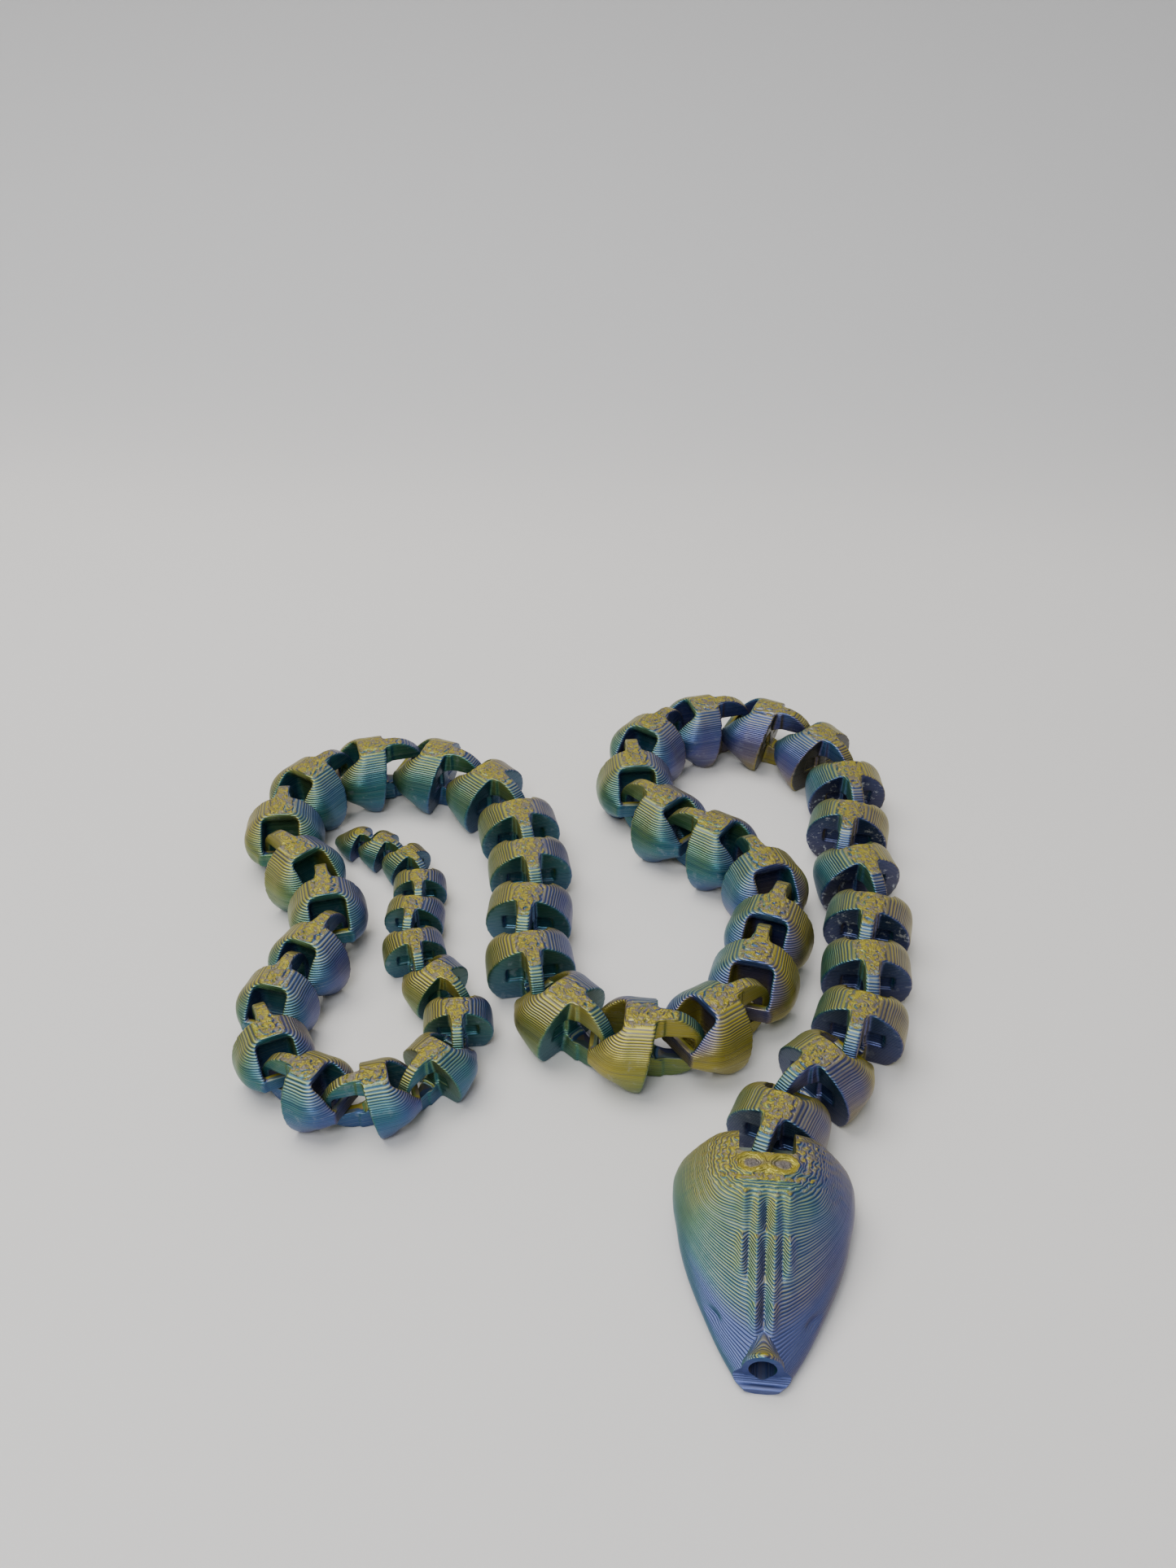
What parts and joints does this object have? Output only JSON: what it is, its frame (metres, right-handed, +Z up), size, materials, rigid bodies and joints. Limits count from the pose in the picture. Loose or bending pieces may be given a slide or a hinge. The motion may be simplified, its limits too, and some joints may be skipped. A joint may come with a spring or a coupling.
{
  "type": "articulated snake toy",
  "caption": "Jointed snake figure lying in loose coils: a wide flat head, a long row of like round-backed links hinged nose to tail by ring tongues, and a tapering tail.",
  "frame": {"origin": "on the ground under the middle of the head, on its flat underside", "axes": "+Z up; the snout points to -Y and the body lies behind the head towards +Y and -X"},
  "size_m": [0.1712, 0.211, 0.0192],
  "materials": {
    "silk_filament": "silk, colour shifting along the body"
  },
  "bodies": {
    "head": {"head": "silk_filament"},
    "link_01": {"link_01": "silk_filament"},
    "link_02": {"link_02": "silk_filament"},
    "link_03": {"link_03": "silk_filament"},
    "link_04": {"link_04": "silk_filament"},
    "link_05": {"link_05": "silk_filament"},
    "link_06": {"link_06": "silk_filament"},
    "link_07": {"link_07": "silk_filament"},
    "link_08": {"link_08": "silk_filament"},
    "link_09": {"link_09": "silk_filament"},
    "link_10": {"link_10": "silk_filament"},
    "link_11": {"link_11": "silk_filament"},
    "link_12": {"link_12": "silk_filament"},
    "link_13": {"link_13": "silk_filament"},
    "link_14": {"link_14": "silk_filament"},
    "link_15": {"link_15": "silk_filament"},
    "link_16": {"link_16": "silk_filament"},
    "link_17": {"link_17": "silk_filament"},
    "link_18": {"link_18": "silk_filament"},
    "link_19": {"link_19": "silk_filament"},
    "link_20": {"link_20": "silk_filament"},
    "link_21": {"link_21": "silk_filament"},
    "link_22": {"link_22": "silk_filament"},
    "link_23": {"link_23": "silk_filament"},
    "link_24": {"link_24": "silk_filament"},
    "link_25": {"link_25": "silk_filament"},
    "link_26": {"link_26": "silk_filament"},
    "link_27": {"link_27": "silk_filament"},
    "link_28": {"link_28": "silk_filament"},
    "link_29": {"link_29": "silk_filament"},
    "link_30": {"link_30": "silk_filament"},
    "link_31": {"link_31": "silk_filament"},
    "link_32": {"link_32": "silk_filament"},
    "link_33": {"link_33": "silk_filament"},
    "link_34": {"link_34": "silk_filament"},
    "link_35": {"link_35": "silk_filament"},
    "link_36": {"link_36": "silk_filament"},
    "link_37": {"link_37": "silk_filament"},
    "link_38": {"link_38": "silk_filament"},
    "link_39": {"link_39": "silk_filament"},
    "link_40": {"link_40": "silk_filament"},
    "link_41": {"link_41": "silk_filament"},
    "link_42": {"link_42": "silk_filament"},
    "link_43": {"link_43": "silk_filament"},
    "link_44": {"link_44": "silk_filament"},
    "link_45": {"link_45": "silk_filament"},
    "tail_tip": {"tail_tip": "silk_filament"}
  },
  "joints": [
    {"name": "neck_hinge", "type": "hinge", "parent": "head", "child": "link_01", "pos_m": [0, 0.02, 0], "axis": [0, 0, 1], "range_deg": [-1, 41]},
    {"name": "hinge_02", "type": "hinge", "parent": "link_01", "child": "link_02", "pos_m": [0.00592, 0.03626, 0], "axis": [0, 0, -1], "range_deg": [-42, 12]},
    {"name": "hinge_03", "type": "hinge", "parent": "link_02", "child": "link_03", "pos_m": [0.01877, 0.04911, 0], "axis": [0, 0, 1], "range_deg": [-71, 11]},
    {"name": "hinge_04", "type": "hinge", "parent": "link_03", "child": "link_04", "pos_m": [0.0236, 0.06712, 0], "axis": [0, 0, -1], "range_deg": [-8, 44]},
    {"name": "hinge_05", "type": "hinge", "parent": "link_04", "child": "link_05", "pos_m": [0.0236, 0.08435, 0], "axis": [0, 0, 1], "range_deg": [-16, 6]},
    {"name": "hinge_06", "type": "hinge", "parent": "link_05", "child": "link_06", "pos_m": [0.0265, 0.10084, 0], "axis": [0, 0, 1], "range_deg": [-71, 2]},
    {"name": "hinge_07", "type": "hinge", "parent": "link_06", "child": "link_07", "pos_m": [0.02013, 0.11837, 0], "axis": [0, 0, -1], "range_deg": [-1, 11]},
    {"name": "hinge_08", "type": "hinge", "parent": "link_07", "child": "link_08", "pos_m": [0.02336, 0.13673, 0], "axis": [0, 0, -1], "range_deg": [0, 52]},
    {"name": "hinge_09", "type": "hinge", "parent": "link_08", "child": "link_09", "pos_m": [0.02029, 0.15417, 0], "axis": [0, 0, 1], "range_deg": [-71, 0]},
    {"name": "hinge_10", "type": "hinge", "parent": "link_09", "child": "link_10", "pos_m": [0.0083, 0.16845, 0], "axis": [0, 0, -1], "range_deg": [0, 71]},
    {"name": "hinge_11", "type": "hinge", "parent": "link_10", "child": "link_11", "pos_m": [-0.00922, 0.17483, 0], "axis": [0, 0, 1], "range_deg": [-79, 0]},
    {"name": "hinge_12", "type": "hinge", "parent": "link_11", "child": "link_12", "pos_m": [-0.02698, 0.16837, 0], "axis": [0, 0, -1], "range_deg": [0, 79]},
    {"name": "hinge_13", "type": "hinge", "parent": "link_12", "child": "link_13", "pos_m": [-0.03643, 0.152, 0], "axis": [0, 0, 1], "range_deg": [-79, 0]},
    {"name": "hinge_14", "type": "hinge", "parent": "link_13", "child": "link_14", "pos_m": [-0.03315, 0.13339, 0], "axis": [0, 0, -1], "range_deg": [0, 60]},
    {"name": "hinge_15", "type": "hinge", "parent": "link_14", "child": "link_15", "pos_m": [-0.01867, 0.12124, 0], "axis": [0, 0, 1], "range_deg": [-32, 1]},
    {"name": "hinge_16", "type": "hinge", "parent": "link_15", "child": "link_16", "pos_m": [-0.00417, 0.11286, 0], "axis": [0, 0, 1], "range_deg": [-4, 1]},
    {"name": "hinge_17", "type": "hinge", "parent": "link_16", "child": "link_17", "pos_m": [0.00382, 0.09573, 0], "axis": [0, 0, 1], "range_deg": [0, 4]},
    {"name": "hinge_18", "type": "hinge", "parent": "link_17", "child": "link_18", "pos_m": [-0.00107, 0.07748, 0], "axis": [0, 0, -1], "range_deg": [-9, 10]},
    {"name": "hinge_19", "type": "hinge", "parent": "link_18", "child": "link_19", "pos_m": [-0.0039, 0.06145, 0], "axis": [0, 0, 1], "range_deg": [0, 26]},
    {"name": "hinge_20", "type": "hinge", "parent": "link_19", "child": "link_20", "pos_m": [-0.01837, 0.0493, 0], "axis": [0, 0, -1], "range_deg": [-71, 0]},
    {"name": "hinge_21", "type": "hinge", "parent": "link_20", "child": "link_21", "pos_m": [-0.03728, 0.0493, 0], "axis": [0, 0, 1], "range_deg": [0, 79]},
    {"name": "hinge_22", "type": "hinge", "parent": "link_21", "child": "link_22", "pos_m": [-0.05175, 0.06145, 0], "axis": [0, 0, 1], "range_deg": [-4, 15]},
    {"name": "hinge_23", "type": "hinge", "parent": "link_22", "child": "link_23", "pos_m": [-0.05665, 0.07971, 0], "axis": [0, 0, 1], "range_deg": [-14, 4]},
    {"name": "hinge_24", "type": "hinge", "parent": "link_23", "child": "link_24", "pos_m": [-0.05665, 0.09693, 0], "axis": [0, 0, -1], "range_deg": [-2, 24]},
    {"name": "hinge_25", "type": "hinge", "parent": "link_24", "child": "link_25", "pos_m": [-0.0611, 0.11357, 0], "axis": [0, 0, 1], "range_deg": [-29, 1]},
    {"name": "hinge_26", "type": "hinge", "parent": "link_25", "child": "link_26", "pos_m": [-0.06667, 0.12886, 0], "axis": [0, 0, 1], "range_deg": [-71, 1]},
    {"name": "hinge_27", "type": "hinge", "parent": "link_26", "child": "link_27", "pos_m": [-0.08096, 0.14085, 0], "axis": [0, 0, -1], "range_deg": [-1, 62]},
    {"name": "hinge_28", "type": "hinge", "parent": "link_27", "child": "link_28", "pos_m": [-0.09851, 0.14555, 0], "axis": [0, 0, -1], "range_deg": [-1, 74]},
    {"name": "hinge_29", "type": "hinge", "parent": "link_28", "child": "link_29", "pos_m": [-0.11627, 0.13909, 0], "axis": [0, 0, -1], "range_deg": [0, 79]},
    {"name": "hinge_30", "type": "hinge", "parent": "link_29", "child": "link_30", "pos_m": [-0.12572, 0.12272, 0], "axis": [0, 0, -1], "range_deg": [0, 80]},
    {"name": "hinge_31", "type": "hinge", "parent": "link_30", "child": "link_31", "pos_m": [-0.12252, 0.10459, 0], "axis": [0, 0, -1], "range_deg": [0, 80]},
    {"name": "hinge_32", "type": "hinge", "parent": "link_31", "child": "link_32", "pos_m": [-0.10879, 0.09306, 0], "axis": [0, 0, 1], "range_deg": [-9, 3]},
    {"name": "hinge_33", "type": "hinge", "parent": "link_32", "child": "link_33", "pos_m": [-0.1029, 0.07689, 0], "axis": [0, 0, 1], "range_deg": [0, 2]},
    {"name": "hinge_34", "type": "hinge", "parent": "link_33", "child": "link_34", "pos_m": [-0.1087, 0.06096, 0], "axis": [0, 0, 1], "range_deg": [-17, 1]},
    {"name": "hinge_35", "type": "hinge", "parent": "link_34", "child": "link_35", "pos_m": [-0.11124, 0.04658, 0], "axis": [0, 0, 1], "range_deg": [-12, 0]},
    {"name": "hinge_36", "type": "hinge", "parent": "link_35", "child": "link_36", "pos_m": [-0.10325, 0.03274, 0], "axis": [0, 0, 1], "range_deg": [-7, 0]},
    {"name": "hinge_37", "type": "hinge", "parent": "link_36", "child": "link_37", "pos_m": [-0.08868, 0.02744, 0], "axis": [0, 0, 1], "range_deg": [-4, 0]},
    {"name": "hinge_38", "type": "hinge", "parent": "link_37", "child": "link_38", "pos_m": [-0.07447, 0.03261, 0], "axis": [0, 0, 1], "range_deg": [-4, 0]},
    {"name": "hinge_39", "type": "hinge", "parent": "link_38", "child": "link_39", "pos_m": [-0.0671, 0.04538, 0], "axis": [0, 0, 1], "range_deg": [-7, 0]},
    {"name": "hinge_40", "type": "hinge", "parent": "link_39", "child": "link_40", "pos_m": [-0.0696, 0.05952, 0], "axis": [0, 0, -1], "range_deg": [0, 11]},
    {"name": "hinge_41", "type": "hinge", "parent": "link_40", "child": "link_41", "pos_m": [-0.08031, 0.06851, 0], "axis": [0, 0, -1], "range_deg": [-1, 9]},
    {"name": "hinge_42", "type": "hinge", "parent": "link_41", "child": "link_42", "pos_m": [-0.0849, 0.08113, 0], "axis": [0, 0, -1], "range_deg": [-2, 12]},
    {"name": "hinge_43", "type": "hinge", "parent": "link_42", "child": "link_43", "pos_m": [-0.0849, 0.09352, 0], "axis": [0, 0, 1], "range_deg": [-34, 3]},
    {"name": "hinge_44", "type": "hinge", "parent": "link_43", "child": "link_44", "pos_m": [-0.08678, 0.10416, 0], "axis": [0, 0, -1], "range_deg": [-2, 39]},
    {"name": "hinge_45", "type": "hinge", "parent": "link_44", "child": "link_45", "pos_m": [-0.09467, 0.11205, 0], "axis": [0, 0, 1], "range_deg": [-49, 9]},
    {"name": "tail_hinge", "type": "hinge", "parent": "link_45", "child": "tail_tip", "pos_m": [-0.10325, 0.11605, 0], "axis": [0, 0, -1], "range_deg": [-15, 15]}
  ]
}
